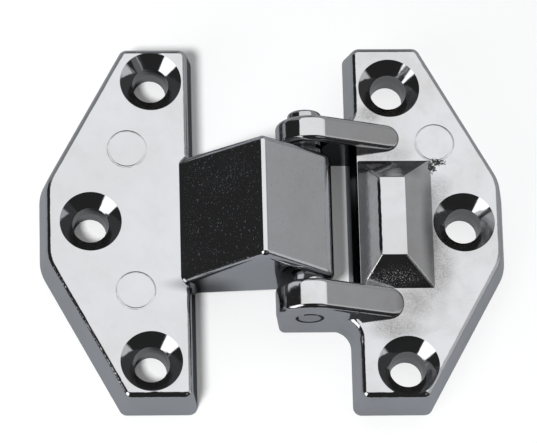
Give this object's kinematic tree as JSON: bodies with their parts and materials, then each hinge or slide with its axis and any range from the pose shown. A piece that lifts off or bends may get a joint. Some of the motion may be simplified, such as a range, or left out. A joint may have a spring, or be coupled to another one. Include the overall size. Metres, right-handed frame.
{
  "type": "cabinet door hinge",
  "caption": "Chrome-plated cast cabinet door hinge with two six-sided screw plates, a roof-shaped arm, a stop block and a headed pin between two ears.",
  "frame": {"origin": "middle of the footprint of the opened hinge, on the mounting plane", "axes": "+X from the door leaf to the frame leaf, +Y along the pin to its head, +Z away from the mounting plane"},
  "size_m": [0.0756, 0.0616, 0.0196],
  "materials": {
    "door_casting": "bright chrome plate over a zinc die casting",
    "frame_casting": "bright chrome plate over a zinc die casting",
    "pin": "plated steel"
  },
  "bodies": {
    "frame": {"frame_leaf": "frame_casting", "hinge_pin": "pin"},
    "door": {"door_leaf": "door_casting"}
  },
  "joints": [
    {"name": "leaf_hinge", "type": "hinge", "parent": "frame", "child": "door", "pos_m": [0.00525, 0, 0.00745], "axis": [0, 1, 0], "range_deg": [-98, 97]}
  ]
}
